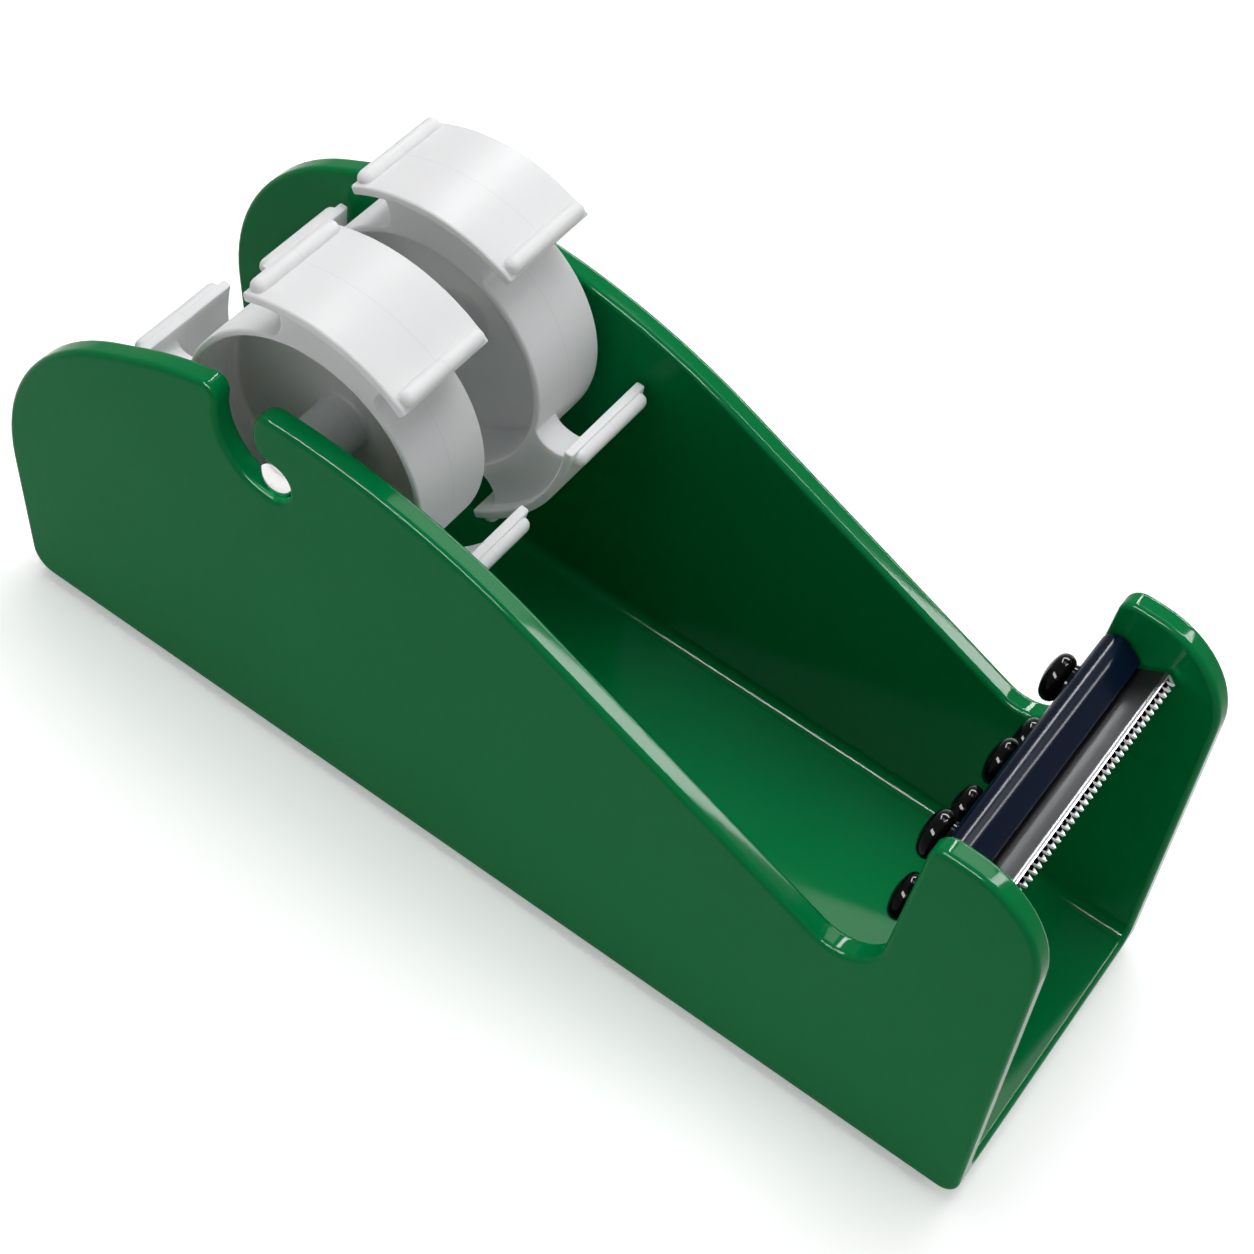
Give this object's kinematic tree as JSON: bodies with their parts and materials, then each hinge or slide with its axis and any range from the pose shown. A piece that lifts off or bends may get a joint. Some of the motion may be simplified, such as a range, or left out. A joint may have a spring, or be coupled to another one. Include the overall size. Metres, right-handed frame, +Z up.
{
  "type": "desktop tape dispenser",
  "caption": "Free-standing desktop dispenser for rolls of tape side by side, with hubs on a lift-out axle and a toothed cutter blade.",
  "frame": {"origin": "on the surface it stands on, under the middle of its length and width", "axes": "+X along the body towards the cutter, +Y across the body, +Z up"},
  "size_m": [0.224, 0.072, 0.1057],
  "materials": {
    "green_enamel": "glossy",
    "axle_steel": "polished",
    "spacer_white": "satin",
    "hub_white": "glossy",
    "navy_enamel": "satin",
    "blade_steel": "satin",
    "screw_steel": "satin",
    "cap_black": "glossy",
    "foot_rubber": "matte"
  },
  "bodies": {
    "stand": {"body": "green_enamel", "foot_rear_near": "foot_rubber", "foot_rear_far": "foot_rubber", "foot_front_near": "foot_rubber", "foot_front_far": "foot_rubber", "cutter_bracket": "navy_enamel", "blade": "blade_steel", "bracket_screws": "screw_steel", "screw_caps": "cap_black"},
    "axle_set": {"axle": "axle_steel", "axle_spacer": "spacer_white"},
    "near_reel": {"hub_near": "hub_white"},
    "far_reel": {"hub_far": "hub_white"}
  },
  "joints": [
    {"name": "axle_lift", "type": "hinge", "parent": "stand", "child": "axle_set", "pos_m": [-0.0512, 0, 0.07934], "axis": [0, 1, 0], "range_deg": [0, 90]},
    {"name": "near_reel_spin", "type": "hinge", "parent": "axle_set", "child": "near_reel", "pos_m": [-0.0512, 0, 0.0697], "axis": [0, 1, 0], "continuous": true},
    {"name": "far_reel_spin", "type": "hinge", "parent": "axle_set", "child": "far_reel", "pos_m": [-0.0512, 0, 0.0697], "axis": [0, 1, 0], "continuous": true}
  ]
}
